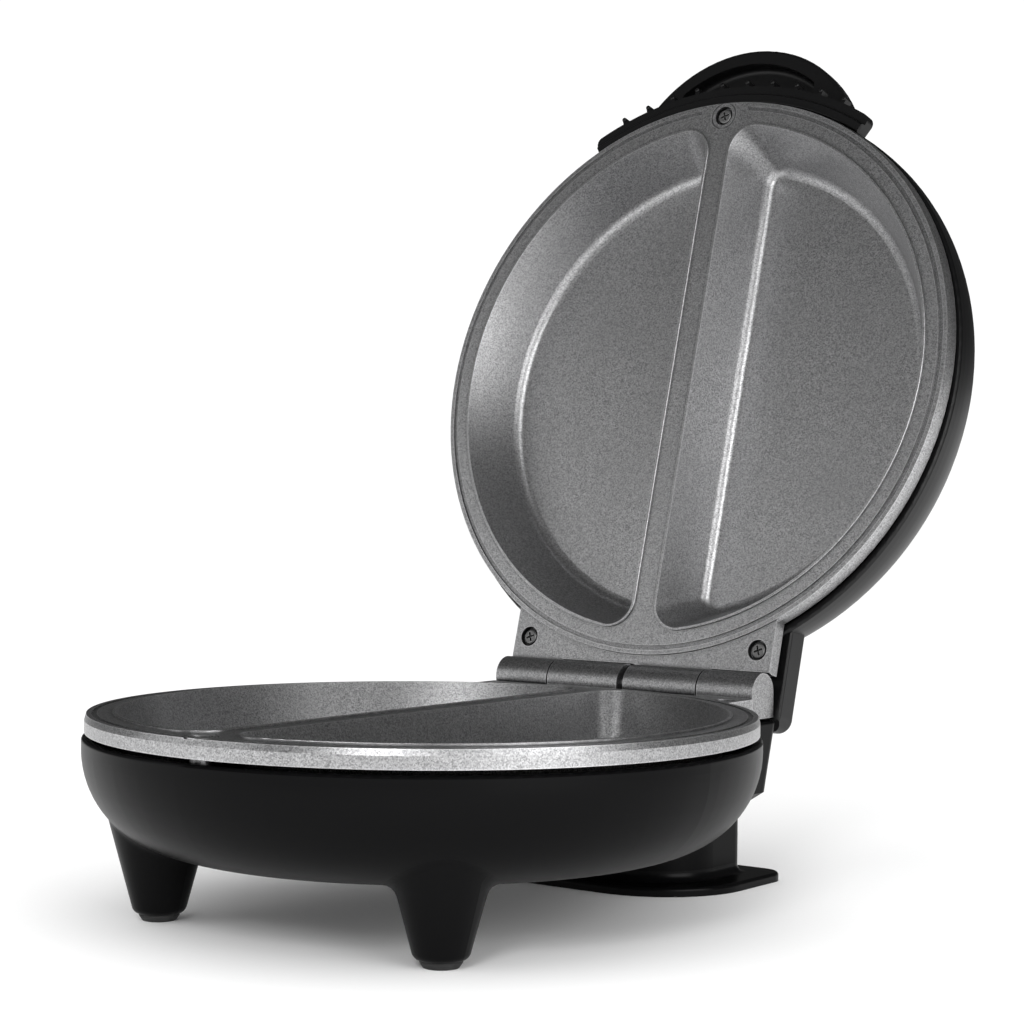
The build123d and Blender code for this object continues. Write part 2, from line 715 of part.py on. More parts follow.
def base_outer():
    """Outside of the base housing."""
    body = bowl(base_rim_radius, bowl_arc_top, bowl_fillet, base_rim_height, 0, rim_round)
    for x in (leg_x, -leg_x):
        foot = leg(x)
        foot = fillet(foot.edges().group_by(Axis.Z)[0], leg_foot_round)
        body += foot
    roots = [e for e in body.edges()
             if e.geom_type not in (GeomType.CIRCLE, GeomType.LINE) and e.center().Z > leg_foot_height + 8]
    body = fillet(roots, leg_root_fillet)
    upper = tapered(box_outline(box_foot_half_width, box_foot_rear_y),
                    box_outline(box_half_width, box_rear_y), box_foot_height, box_top)
    upper = fillet(upper.edges().group_by(Axis.Z)[-1], 0.8)
    lower = tapered(box_outline(pillar_half_width, pillar_rear_y),
                    box_outline(box_foot_half_width, box_foot_rear_y), pillar_top, box_foot_height)
    pillar = prism(pillar_outline(), pillar_foot, box_floor)
    gland_boss = rod_y(8.0, cord_hole_x, box_foot_rear_y - 6, box_rear_y, cord_hole_z)
    return body + upper + lower + pillar + gland_boss


def base_cavity():
    """Inside of the base housing, open at the top."""
    inside = bowl(base_rim_radius, bowl_arc_top, bowl_fillet, base_rim_height + 1, wall)
    roof = box_top - wall
    slope = (box_rear_y - box_foot_rear_y) / (box_top - box_foot_height)
    roof_rear = box_rear_y - slope * wall
    inside += tapered(box_outline(box_foot_half_width, box_foot_rear_y, wall),
                      box_outline(box_half_width, roof_rear, wall), box_foot_height, roof)
    inside += tapered(box_outline(pillar_half_width, pillar_rear_y, wall),
                      box_outline(box_foot_half_width, box_foot_rear_y, wall), box_floor, box_foot_height)
    for x in (leg_x, -leg_x):
        hollow = leg(x, wall)
        inside += hollow & block(x - 40, x + 40, leg_y - 40, leg_y + 40, leg_foot_height + 5, leg_top)
    return inside


def base_housing():
    """Moulded bowl with its legs, hinge box and stand pillar."""
    body = base_outer() - base_cavity()
    hollow = prism(pillar_outline(-wall), pillar_foot - 1, pillar_hollow_top)
    body -= hollow
    # bosses for the plate screws, kept inside the outer skin
    for x, y in screw_places():
        low = box_floor - 1 if y > 0 else bowl_bottom + 10
        boss = rod(boss_radius, x, y, low, plate_boss_foot)
        body += boss & base_envelope()
        body -= rod(screw_radius + fit_gap, x, y, plate_boss_foot - 8.5, plate_boss_foot + 1)
    for side in (1, -1):
        x = side * foot_screw_x
        body += rod(boss_radius, x, foot_screw_y, pillar_foot + foot_plug_height, pillar_hollow_top + 0.5)
        body -= rod(small_screw_radius + fit_gap, x, foot_screw_y, pillar_foot, pillar_hollow_top - 2)
        body -= rod(pad_radius + fit_gap, side * leg_x, leg_y, 0, leg_foot_height + pad_recess)
    # terminal block posts
    for side in (1, -1):
        body += rod(2.6, side * block_screw_x, block_y, box_floor - 0.5, block_foot)
        body -= rod(small_screw_radius + fit_gap, side * block_screw_x, block_y, box_floor + 0.5, block_foot + 1)
    body -= beyond_stop()
    body -= rod_y(gland_hole_radius, cord_hole_x, box_foot_rear_y - 12, box_rear_y + 1, cord_hole_z)
    body -= rod_y(10.0, cord_hole_x, box_foot_rear_y - 14, gland_inner_y, cord_hole_z)
    return body


def base_envelope():
    """Solid outside shape used to trim inner bosses."""
    body = bowl(base_rim_radius, bowl_arc_top, bowl_fillet, base_rim_height, 0.5)
    return body + block(-box_foot_half_width + 1, box_foot_half_width - 1, box_front_y,
                        box_foot_rear_y - 1, pillar_top, box_top)


def cord_gland():
    """Rubber bush that lines the cord inlet in the rear wall."""
    outer_face = box_rear_y
    inner_face = gland_inner_y
    barrel = rod_y(gland_hole_radius - fit_gap, cord_hole_x, inner_face - gland_flange, outer_face + gland_flange,
                   cord_hole_z)
    outside = rod_y(gland_flange_radius, cord_hole_x, outer_face, outer_face + gland_flange, cord_hole_z)
    outside = fillet(outside.edges().group_by(Axis.Y)[-1], 0.8)
    inside = rod_y(gland_flange_radius, cord_hole_x, inner_face - gland_flange, inner_face, cord_hole_z)
    body = barrel + outside + inside
    return body - rod_y(gland_bore_radius, cord_hole_x, inner_face - 5, outer_face + 5, cord_hole_z)


def terminal_block():
    """Three-way terminal block on posts in the hinge box."""
    body = block(-block_half_length, block_half_length, block_y - block_half_width, block_y + block_half_width,
                 block_foot, block_foot + block_height)
    body = fillet(body.edges().filter_by(Axis.Z), 1.0)
    ears = block(-block_screw_x - 3.2, block_screw_x + 3.2, block_y - 3.2, block_y + 3.2,
                 block_foot, block_foot + 2.2)
    body += fillet(ears.edges().filter_by(Axis.Z), 2.0)
    for side in (1, -1):
        body -= rod(small_screw_radius + fit_gap, side * block_screw_x, block_y, block_foot - 1, block_foot + 4)
    for x in (-10.5, 0, 10.5):
        for y in (-3.6, 3.6):
            body -= rod(1.6, x, block_y + y, block_foot + block_height - 5, block_foot + block_height + 1)
        body -= rod_y(1.6, x, block_y - 9, block_y + 9, block_foot + 4.5)
    return body


def block_screws():
    """Two screws that hold the terminal block, heads on top."""
    group = []
    for side in (1, -1):
        screw = small_screw(side * block_screw_x, block_y, 0, 4.0 - 1.0)
        group.append(Pos(0, 0, block_foot + 2.2) * screw.rotate(
            Axis((side * block_screw_x, block_y, 0), (1, 0, 0)), 180))
    return group


def foot_pads():
    """Rubber pads in the ends of the two front legs."""
    group = []
    for x in (leg_x, -leg_x):
        stem = rod(pad_radius, x, leg_y, leg_foot_height - 0.6, leg_foot_height + pad_recess)
        foot = Pos(x, leg_y, (leg_foot_height - 0.6) / 2) * Cone(pad_foot_radius, pad_radius, leg_foot_height - 0.6)
        group.append(stem + foot)
    return group


def rear_foot_plate():
    """Flange under the pillar that stands the rear up and keeps the wound cord in place."""
    flange = prism(pillar_outline(foot_flange), 0, foot_thickness)
    flange = fillet(flange.edges().group_by(Axis.Z)[-1], foot_edge_round)
    neck = prism(pillar_outline(), foot_thickness - 0.5, pillar_foot)
    body = flange + neck
    ring = [e for e in body.edges() if abs(e.center().Z - foot_thickness) < 0.05]
    inner = [e for e in ring if on_outline(e)]
    body = fillet(inner, foot_fillet)
    plug = prism(pillar_outline(-wall - seat_gap) - pillar_outline(-2 * wall - seat_gap),
                 pillar_foot - 0.5, pillar_foot + foot_plug_height)
    body += plug
    body -= prism(pillar_outline(-2.5), -1, foot_shell)
    for side in (1, -1):
        x = side * foot_screw_x
        top = pillar_foot + foot_plug_height
        body += rod(boss_radius + 1.2, x, foot_screw_y, foot_shell - 0.5, top)
        body -= rod(small_head_radius + 0.4, x, foot_screw_y, -1, foot_shell + 2)
        body -= rod(small_screw_radius + fit_gap, x, foot_screw_y, 0, top + 1)
    return body


def on_outline(edge):
    """True for an edge that follows the pillar's foot rather than the flange's rim."""
    p = edge.center()
    within_x = abs(p.X) <= pillar_half_width + 0.5
    return within_x and pillar_front_y - 0.5 <= p.Y <= pillar_rear_y + 0.5


def foot_screws():
    """Two screws that hold the rear foot plate."""
    return [small_screw(side * foot_screw_x, foot_screw_y, foot_shell + 2, 12.0) for side in (1, -1)]


# ---------------------------------------------------------------- lid housing, drawn upside down
# These shapes are drawn on the base side, at the depths the lid has, and turned over by lid_side.
def depth_z(depth):
    """Height on the base side of a depth measured from the plate's flange."""
    return flange_height - depth


def lid_box_plan(inset=0.0):
    """Hinge box of the lid in plan, with its rounded rear corners."""
    rear = lid_box_rear_y - inset
    shape = Pos(0, (rear + box_front_y) / 2) * Rectangle(2 * (lid_box_half_width - inset), rear - box_front_y)
    return fillet(shape.vertices().group_by(Axis.Y)[-1], max(lid_box_corner - inset, 1.0))


def beyond_stop():
    """Everything past the plane through the hinge axis where the two boxes meet when open."""
    reach = 40.0
    above = block(-2 * reach, 2 * reach, hinge_y, hinge_y + reach, hinge_z, hinge_z + reach)
    above = above.rotate(hinge_axis, -stop_slope)
    lean = radians(stop_slope)
    return Pos(0, -stop_clear * sin(lean), -stop_clear * cos(lean)) * above


def dome(inset, rim_z, rim=0.0):
    """The lid's round dome."""
    shape = bowl(dome_radius, depth_z(dome_arc_depth), dome_fillet, rim_z, inset, rim)
    return Pos(0, dome_centre_y, 0) * shape


def visor():
    """Crescent handle with a finger recess underneath."""
    plan = Pos(0, visor_centre_y) * Circle(visor_radius)
    body = prism(plan, depth_z(visor_high), depth_z(visor_low))
    body = fillet(body.edges().group_by(Axis.Z)[0], visor_edge_top)
    body = fillet(body.edges().group_by(Axis.Z)[-1], visor_edge_low)
    hollow = Pos(0, visor_centre_y) * Circle(visor_radius - visor_wall)
    hollow -= Circle(collar_outer - 1.5)
    hollow &= Pos(0, visor_centre_y - visor_radius) * Rectangle(2 * visor_recess_half_width, 2 * visor_radius)
    recess = prism(hollow, depth_z(visor_low + visor_recess_depth), depth_z(visor_low) + 1)
    recess = fillet(recess.edges().filter_by(Axis.Z), 2.0)
    recess = fillet(recess.edges().group_by(Axis.Z)[0], 1.9)
    return body - recess


def collar():
    """Front band below the handle, with its row of small nubs."""
    ring = Circle(collar_outer) - Circle(collar_inner)
    ring &= sector(collar_outer, -90, collar_half_angle)
    band = prism(ring, depth_z(collar_high), depth_z(collar_low))
    ends = [e for e in band.edges().filter_by(Axis.Z)
            if sqrt(e.center().X ** 2 + e.center().Y ** 2) > collar_outer - 1]
    band = fillet(ends, collar_end_round)
    step = Circle(2 * collar_outer) - Circle(collar_outer - collar_step_width)
    band -= prism(step, depth_z(collar_low + collar_step), depth_z(0))
    band = fillet(band.faces().sort_by(Axis.Z)[-1].edges(), 0.5)
    for index in range(nub_count):
        angle = radians(-90 + nub_pitch * (index - (nub_count - 1) / 2))
        r = collar_outer + nub_reach - nub_radius
        nub = rod(nub_radius, r, 0, depth_z(nub_high), depth_z(nub_low))
        nub = fillet(nub.edges().group_by(Axis.Z)[-1], 0.5)
        nub += block(collar_outer - 0.6, r, -nub_radius, nub_radius, depth_z(nub_high), depth_z(nub_low) - 0.6)
        band += Rot(0, 0, degrees(angle)) * nub
    return band


def lid_saddle(inset):
    """Sloping roof that carries the hinge box into the dome; inset gives its inside."""
    half = saddle_half_width - inset
    start = lid_box_height - wall - 1.5
    corners = [(saddle_front_y, depth_z(start)), (saddle_rear_y - inset, depth_z(start)),
               (saddle_rear_y - inset, depth_z(lid_box_height - inset)),
               (saddle_crest_y - inset, depth_z(saddle_crest_depth - inset)),
               (saddle_front_y, depth_z(saddle_front_depth - inset))]
    side_view = make_face(Polyline(*[(0, y, z) for y, z in corners], close=True))
    body = extrude(side_view, amount=half, dir=(1, 0, 0), both=True)
    sides = [e for e in body.edges() if abs(e.center().X) > half - 1 and e.center().Y > saddle_front_y + 1]
    slopes = [e for e in sides if e.length > saddle_crest_y - saddle_front_y - 5 and e.center().Z < depth_z(start + 1)]
    return fillet(slopes, saddle_round - inset)


def lid_housing_upside_down():
    """Moulded lid shell: dome, hinge box, collar and crescent handle."""
    body = dome(0, depth_z(dome_rim_depth), rim_round)
    box = prism(lid_box_plan(), depth_z(lid_box_height), depth_z(box_top_drop))
    for level, radius in ((0, lid_box_edge_round), (-1, rim_round)):
        edges = [e for e in box.edges().group_by(Axis.Z)[level] if e.center().Y > box_front_y + 1]
        box = fillet(edges, radius)
    body += box
    body += lid_saddle(0)
    body += visor()
    body += collar()
    inside = dome(wall, depth_z(-1)) + lid_saddle(wall)
    inside += prism(lid_box_plan(wall), depth_z(lid_box_height - wall), depth_z(box_top_drop + wall))
    body -= inside
    body -= beyond_stop()
    envelope = dome(0.5, depth_z(dome_rim_depth)) + lid_saddle(0.5)
    envelope += prism(lid_box_plan(0.5), depth_z(lid_box_height - 0.5), depth_z(box_top_drop))
    for x, y in screw_places():
        boss = rod(boss_radius, x, y, plate_boss_foot - 12.5, plate_boss_foot)
        body += boss & envelope
        body -= rod(screw_radius + fit_gap, x, y, plate_boss_foot - 8.5, plate_boss_foot + 1)
    for side in (1, -1):
        body -= rod(lens_radius + fit_gap, side * lamp_x, lamp_y, depth_z(60), depth_z(dome_arc_depth))
        body += lamp_post(side)
    return body


def lamp_post(side):
    """Post inside the dome for the lamp holder."""
    top = depth_z(dome_arc_depth + dome_fillet - wall)
    return rod(2.6, side * lamp_post_x, lamp_y, top - 0.4, top + lamp_post_height) - rod(
        small_screw_radius + fit_gap, side * lamp_post_x, lamp_y, top + 0.6, top + lamp_post_height + 1)




def lamp_lens(side):
    """Domed lens with an inner flange."""
    x = side * lamp_x
    low, high = depth_z(dome_outside), depth_z(dome_inside)
    stem = rod(lens_radius, x, lamp_y, low - lens_proud, high)
    stem = fillet(stem.edges().group_by(Axis.Z)[0], 0.8)
    return stem + rod(lens_flange_radius, x, lamp_y, high, high + lens_flange)


def lamp_holder():
    """Bracket behind the lenses that carries the two lamps."""
    low = depth_z(dome_inside) + lamp_post_height
    body = block(-lamp_post_x - 4, lamp_post_x + 4, lamp_y - 5, lamp_y + 5, low, low + 1.6)
    body = fillet(body.edges().filter_by(Axis.Z), 2.5)
    for side in (1, -1):
        body -= rod(small_screw_radius + fit_gap, side * lamp_post_x, lamp_y, low - 1, low + 3)
        cup = rod(lamp_cup_radius, side * lamp_x, lamp_y, low, low + 4)
        body += cup
        body -= rod(lamp_radius + fit_gap, side * lamp_x, lamp_y, low - 1, low + 5)
    return body




def lamps():
    """Two neon lamps standing in the holder, tips towards the lenses."""
    low = depth_z(dome_inside) + lens_flange + 0.6
    group = []
    for side in (1, -1):
        bulb = rod(lamp_radius, side * lamp_x, lamp_y, low, low + 8.0)
        bulb = fillet(bulb.edges().group_by(Axis.Z)[0], 1.6)
        group.append(bulb)
    return group


def holder_screws():
    """Screws of the lamp holder, heads towards the plate."""
    high = depth_z(dome_inside) + lamp_post_height + 1.6
    group = []
    for side in (1, -1):
        screw = small_screw(side * lamp_post_x, lamp_y, 0, 3.8)
        turned = screw.rotate(Axis((side * lamp_post_x, lamp_y, 0), (1, 0, 0)), 180)
        group.append(Pos(0, 0, high) * turned)
    return group


# ---------------------------------------------------------------- leads
def lead(points, bend):
    """Insulated lead along straight runs joined by round bends."""
    path = FilletPolyline(*points, radius=bend)
    section = Plane(path @ 0, z_dir=path % 0) * Circle(lead_radius)
    return sweep(section, path)


def base_leads():
    """Leads between the terminal block, thermostat, fuse and element."""
    x, y = element_end()
    tab_y = y + bush_length + tab_length
    z = lead_height
    hub = block_y - block_half_width - 0.1
    entry_z = block_foot + 4.5
    line_in = lead([(10.5, hub, entry_z), (10.5, 74, entry_z), (10.5, 66, z), (10.5, 40, z),
                    (26, 26, z), (thermostat_x - 3.4, thermostat_y + 10.5, z)], 3.2)
    neutral = lead([(-10.5, hub, entry_z), (-10.5, 74, entry_z), (-10.5, 66, z), (-10.5, 40, z),
                    (-22, 30, z), (fuse_x, 25.5, z + 2), (fuse_x, fuse_y + fuse_length / 2 + 0.7, element_z + 0.6)],
                   2.6)
    return [line_in, neutral]


# ---------------------------------------------------------------- assembly
def all_nodes():
    """Every piece by name, in its resting place."""
    plate = with_knuckles(cooking_plate())
    plate += thermostat_posts()
    for side in (1, -1):
        y = thermostat_y + side * (thermostat_radius + 3.4)
        plate -= rod(small_screw_radius + fit_gap, thermostat_x, y, floor_under - 4, floor_under + 0.6)
    plate -= rod(small_screw_radius + fit_gap, fuse_x - 7.5, fuse_y, floor_under - 1, floor_under + 2)
    pin_x0, pin_x1 = pin_span()
    base_plate = plate - rod_x(pin_radius + fit_gap, -knuckle_end - 5, pin_x1 + fit_gap, hinge_y, hinge_z)
    lid_plate = lid_side(plate) - rod_x(pin_radius + fit_gap, -knuckle_end - 5, pin_x1 + fit_gap, hinge_y, hinge_z)
    pin = rod_x(pin_radius, pin_x0, pin_x1, hinge_y, hinge_z)
    pin = chamfer(pin.edges().filter_by(GeomType.CIRCLE), 0.4)
    base = {
        "base_housing": base_housing(),
        "rear_foot_plate": rear_foot_plate(),
        "foot_plate_screws": foot_screws(),
        "foot_pads": foot_pads(),
        "cord_gland": cord_gland(),
        "terminal_block": terminal_block(),
        "terminal_block_screws": block_screws(),
        "base_cooking_plate": base_plate,
        "base_plate_screws": plate_screws(),
        "base_heating_element": heating_element(),
        "base_element_bushes": element_bushes(),
        "base_element_tabs": element_tabs(),
        "base_element_clamps": element_clamps(),
        "base_clamp_screws": clamp_fixings(),
        "base_heat_shield": heat_shield(),
        "base_shield_screws": shield_screws(),
        "thermostat": thermostat(),
        "thermostat_bracket": thermostat_bracket(),
        "thermostat_screws": thermostat_screws(),
        "base_thermal_fuse": thermal_fuse(),
        "base_fuse_clip": fuse_clip(),
        "base_fuse_screw": fuse_screw(),
        "base_leads": base_leads(),
        "hinge_pin": pin,
    }
    lid = {
        "lid_housing": lid_housing_upside_down(),
        "lid_heating_element": heating_element(),
        "lid_element_bushes": element_bushes(),
        "lid_element_tabs": element_tabs(),
        "lid_element_clamps": element_clamps(),
        "lid_clamp_screws": clamp_fixings(),
        "lid_plate_screws": plate_screws(),
        "lid_heat_shield": heat_shield() - block(-30, 30, -90, lamp_y + 12, shield_height - 2, shield_height + 12),
        "lid_shield_screws": shield_screws(),
        "lid_thermal_fuse": thermal_fuse(),
        "lid_fuse_clip": fuse_clip(),
        "lid_fuse_screw": fuse_screw(),
        "power_lamp_lens": lamp_lens(1),
        "ready_lamp_lens": lamp_lens(-1),
        "lamp_holder": lamp_holder(),
        "indicator_lamps": lamps(),
        "lamp_holder_screws": holder_screws(),
    }
    nodes = dict(base)
    for name, shape in lid.items():
        turned = [opened(lid_side(s)) for s in solids_of(shape)]
        nodes[name] = turned
    nodes["lid_cooking_plate"] = opened(lid_plate)
    return nodes


def solids_of(shape):
    """The separate solids of a shape or of a list of shapes."""
    if isinstance(shape, (list, tuple)):
        return [s for item in shape for s in solids_of(item)]
    return list(shape.solids())


def main():
    """Write each node to its own STEP file."""
    os.makedirs("parts", exist_ok=True)
    for name, shape in all_nodes().items():
        solids = solids_of(shape)
        export_step(Compound(children=solids) if len(solids) > 1 else solids[0], f"parts/{name}.step")


if __name__ == "__main__":
    main()
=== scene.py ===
"""Looks for the two-pocket electric omelette griddle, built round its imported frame."""

import json
from math import cos, radians, sin

import bmesh
import bpy
from bpy.props import FloatProperty, FloatVectorProperty, PointerProperty
from bpy.types import Operator, Panel, PropertyGroup
from mathutils import Matrix, Vector

bl_info = {
    "name": "Omelette griddle finishes",
    "version": (1, 0, 0),
    "blender": (4, 5, 0),
    "location": "View3D > Sidebar > Griddle",
    "description": "Gives the griddle's castings, mouldings and metal parts their finishes, and lights it",
    "category": "Object",
}

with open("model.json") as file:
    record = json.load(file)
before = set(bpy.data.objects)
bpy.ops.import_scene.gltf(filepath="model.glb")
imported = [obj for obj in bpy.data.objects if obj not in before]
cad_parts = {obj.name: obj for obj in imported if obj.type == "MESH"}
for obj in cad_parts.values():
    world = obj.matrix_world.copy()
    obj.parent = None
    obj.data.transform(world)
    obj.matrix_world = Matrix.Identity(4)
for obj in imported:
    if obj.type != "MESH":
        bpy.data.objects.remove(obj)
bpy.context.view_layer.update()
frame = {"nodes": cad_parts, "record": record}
NODES = frame["nodes"]
SLOT_OF = {part["node"]: part["material_slot"] for part in frame["record"]["subparts"]}


FLOOR_RADIUS = 6.0
LIGHT_TARGET = (0.0, 0.03, 0.12)        # about the middle of the open griddle
SOFT_LIGHTS = (                         # name, size, share of the key power, place
    ("front_light", (0.35, 0.45), 0.85, (0.50, -1.10, 0.76)),
    ("left_light", (1.3, 0.9), 0.45, (-1.0, -1.15, 0.44)),
    ("right_light", (1.1, 0.9), 1.5, (1.45, -0.34, 0.46)),
)


# ---------------------------------------------------------------- shader helpers
class Value:
    """One number or colour output of a shader tree that takes part in plain arithmetic."""

    def __init__(self, shader, socket):
        self.shader = shader
        self.socket = socket

    def maths(self, operation, first, second):
        settings = {"operation": operation}
        return self.shader.node("ShaderNodeMath", settings, {0: first, 1: second})

    def __add__(self, other):
        return self.maths("ADD", self, other)

    def __radd__(self, other):
        return self.maths("ADD", other, self)

    def __rsub__(self, other):
        return self.maths("SUBTRACT", other, self)

    def __mul__(self, other):
        return self.maths("MULTIPLY", self, other)

    def __rmul__(self, other):
        return self.maths("MULTIPLY", other, self)


class Finish:
    """A material with one Principled shader, and short ways to feed it."""

    def __init__(self, name):
        self.material = bpy.data.materials.new(name)
        self.material.use_nodes = True
        self.tree = self.material.node_tree
        self.surface = next(n for n in self.tree.nodes if n.type == "BSDF_PRINCIPLED")
        self.place = self.node("ShaderNodeTexCoord", {}, {}, "Object")

    def node(self, kind, settings, inputs, output=0):
        """Adds a node: its settings first, then the values or links of its sockets."""
        made = self.tree.nodes.new(kind)
        for key, value in settings.items():
            if key == "stops":
                self.set_stops(made.color_ramp, value)
            else:
                setattr(made, key, value)
        for key, value in inputs.items():
            self.feed(made.inputs[key], value)
        return Value(self, made.outputs[output])

    def set_stops(self, ramp, stops):
        """Puts (position, grey level) stops on a colour ramp."""
        while len(ramp.elements) < len(stops):
            ramp.elements.new(0.5)
        for element, (position, level) in zip(ramp.elements, stops):
            element.position = position
            element.color = (level, level, level, 1.0)

    def feed(self, socket, value):
        """Links a Value to a socket, or sets the socket to a plain value."""
        if isinstance(value, Value):
            self.tree.links.new(value.socket, socket)
        else:
            socket.default_value = value

    def set(self, **inputs):
        """Sets sockets of the Principled shader by name, with _ for a space."""
        for key, value in inputs.items():
            self.feed(self.surface.inputs[key.replace("_", " ")], value)

    def noise(self, scale, detail=2.0, roughness=0.5, stretch=None):
        """Fractal noise from 0 to 1, about 1/scale metres to a feature."""
        where = self.place
        if stretch:
            where = self.node("ShaderNodeVectorMath", {"operation": "MULTIPLY"}, {0: where, 1: stretch})
        sockets = {"Vector": where, "Scale": scale, "Detail": detail, "Roughness": roughness}
        return self.node("ShaderNodeTexNoise", {}, sockets, "Fac")

    def grains(self, scale):
        """Random grey for each small cell, for flakes and grit."""
        cells = self.node("ShaderNodeTexVoronoi", {}, {"Vector": self.place, "Scale": scale}, "Color")
        return self.node("ShaderNodeSeparateColor", {}, {"Color": cells}, 0)

    def ramp(self, value, *stops):
        """Passes a value through (position, level) stops."""
        return self.node("ShaderNodeValToRGB", {"stops": stops}, {"Fac": value})

    def mix(self, factor, first, second):
        """Blends two colours by a factor from 0 to 1."""
        settings = {"data_type": "RGBA"}
        return self.node("ShaderNodeMix", settings, {"Factor": factor, 6: first, 7: second}, 2)

    def edges(self, width):
        """1 on sharp edges within a width, 0 on flats."""
        rounded = self.node("ShaderNodeBevel", {"samples": 4}, {"Radius": width})
        true = self.node("ShaderNodeNewGeometry", {}, {}, "Normal")
        dot = self.node("ShaderNodeVectorMath", {"operation": "DOT_PRODUCT"}, {0: rounded, 1: true}, "Value")
        return self.ramp(1.0 - dot, (0.015, 0.0), (0.16, 1.0))

    def painted_crevice_shade(self, reach):
        """Mask for painted shade, read from ambient occlusion: 1 in narrow grooves and inside corners within
        a reach, 0 on open surface.
        """
        open_sky = self.node("ShaderNodeAmbientOcclusion", {"samples": 6}, {"Distance": reach}, "AO")
        return self.ramp(1.0 - open_sky, (0.08, 0.0), (0.38, 1.0))

    def relief(self, height, depth, strength=1.0):
        """Bumps the surface by a height value times a depth in metres."""
        sockets = {"Height": height, "Distance": depth, "Strength": strength}
        self.set(Normal=self.node("ShaderNodeBump", {}, sockets, "Normal"))


def grey(level):
    """A neutral colour."""
    return (level, level, level, 1.0)


def tint(colour, factor):
    """A colour made lighter or darker."""
    return tuple(c * factor for c in colour[:3]) + (1.0,)


# ---------------------------------------------------------------- finishes
def nonstick_finish(sizes):
    """Finely flecked grey non-stick coating over cast aluminium, with painted shade in its grooves and
    inside corners and edge wear lightened into painted highlight lines along lips and rims.
    """
    f = Finish("nonstick_coating")
    fleck = f.grains(1.0 / sizes.fleck)
    fine = f.noise(1.0 / (1.4 * sizes.fleck), 2.0, 0.6)
    cloud = f.noise(38.0, 3.0, 0.55)
    base = tuple(sizes.coating_colour) + (1.0,)
    spread = 0.4 * fleck + 0.6 * fine
    colour = f.mix(f.ramp(spread, (0.25, 0.0), (0.75, 1.0)), tint(base, 0.52), tint(base, 1.48))
    colour = f.mix(f.ramp(cloud, (0.35, 0.0), (0.75, 0.4)), colour, tint(base, 0.86))
    # Edge wear, lightened so far that it also stands as painted highlight lines along the lips and rims.
    wear_and_highlight = f.edges(0.0007) * f.ramp(f.noise(420.0, 3.0), (0.3, 0.5), (0.65, 1.0))
    # Painted shade: the coating is darkened in grooves and inside corners.
    colour = f.mix(f.painted_crevice_shade(0.0016) * 0.85, colour, tint(base, 0.12))
    colour = f.mix(wear_and_highlight * 0.8, colour, tint(base, 2.0))
    f.set(Base_Color=colour, Metallic=0.98, Roughness=0.30 + 0.10 * fine + 0.05 * cloud)
    f.set(Specular_IOR_Level=0.3)
    f.relief(fine + 0.5 * fleck, 0.00004, 0.5)
    return f.material


def housing_finish(sizes, name, rough, gloss):
    """Smooth black heat-resisting plastic with faint flow marks and dust."""
    f = Finish(name)
    cloud = f.noise(22.0, 3.0)
    skin = f.noise(2600.0, 2.0)
    dust = f.ramp(f.noise(900.0, 4.0, 0.7), (0.62, 0.0), (0.80, 1.0))
    base = tuple(sizes.housing_colour) + (1.0,)
    colour = f.mix(cloud * 0.5, base, tint(base, 1.4))
    colour = f.mix(dust * 0.04, colour, grey(0.04))
    f.set(Base_Color=colour, Metallic=0.0, Roughness=rough + 0.08 * cloud + 0.06 * dust)
    f.set(Specular_IOR_Level=gloss)
    f.relief(skin + 0.5 * cloud, 0.00002, 0.35)
    return f.material


def rubber_finish():
    """Matt black rubber with a dusty skin."""
    f = Finish("matt_rubber")
    skin = f.noise(1900.0, 4.0, 0.7)
    dust = f.noise(260.0, 3.0)
    colour = f.mix(f.ramp(dust, (0.45, 0.0), (0.8, 0.5)), grey(0.018), grey(0.05))
    f.set(Base_Color=colour, Roughness=0.72 + 0.15 * skin)
    f.relief(skin, 0.00008, 0.5)
    return f.material


def metal_finish(name, colour, rough, stain=0.25, stretch=(1.0, 1.0, 1.0)):
    """Worked metal: fine drawn lines, light staining and brighter edges."""
    f = Finish(name)
    lines = f.noise(1500.0, 3.0, 0.6, stretch)
    blotch = f.noise(120.0, 4.0, 0.6)
    shade = f.mix(f.ramp(blotch, (0.4, 0.0), (0.75, 1.0)) * stain, colour, tint(colour, 0.45))
    shade = f.mix(f.edges(0.0003) * 0.6, shade, tint(colour, 1.35))
    f.set(Base_Color=shade, Metallic=1.0, Roughness=rough + 0.14 * lines + 0.08 * blotch)
    f.relief(lines, 0.00003, 0.4)
    return f.material


def blackened_screw_finish():
    """Dark plated screw with bright wear on its recess edges and painted shade darkening its recess."""
    f = Finish("blackened_screw")
    grain = f.noise(1800.0, 3.0)
    shade = f.mix(grain, grey(0.12), grey(0.24))
    # Painted shade: near-black in the recess and other inside corners.
    shade = f.mix(f.painted_crevice_shade(0.001) * 0.95, shade, grey(0.008))
    shade = f.mix(f.edges(0.00025) * 0.8, shade, grey(0.6))
    f.set(Base_Color=shade, Metallic=0.85, Roughness=0.34 + 0.16 * grain)
    f.relief(grain, 0.00003, 0.4)
    return f.material


def element_finish():
    """Stainless sheath discoloured by heat in bands."""
    f = Finish("heated_sheath")
    band = f.noise(48.0, 3.0, 0.6)
    grain = f.noise(1600.0, 3.0)
    shade = f.mix(f.ramp(band, (0.3, 0.0), (0.7, 1.0)), (0.16, 0.14, 0.13, 1.0), (0.34, 0.27, 0.19, 1.0))
    f.set(Base_Color=shade, Metallic=0.9, Roughness=0.38 + 0.2 * grain)
    f.relief(grain, 0.00004, 0.5)
    return f.material


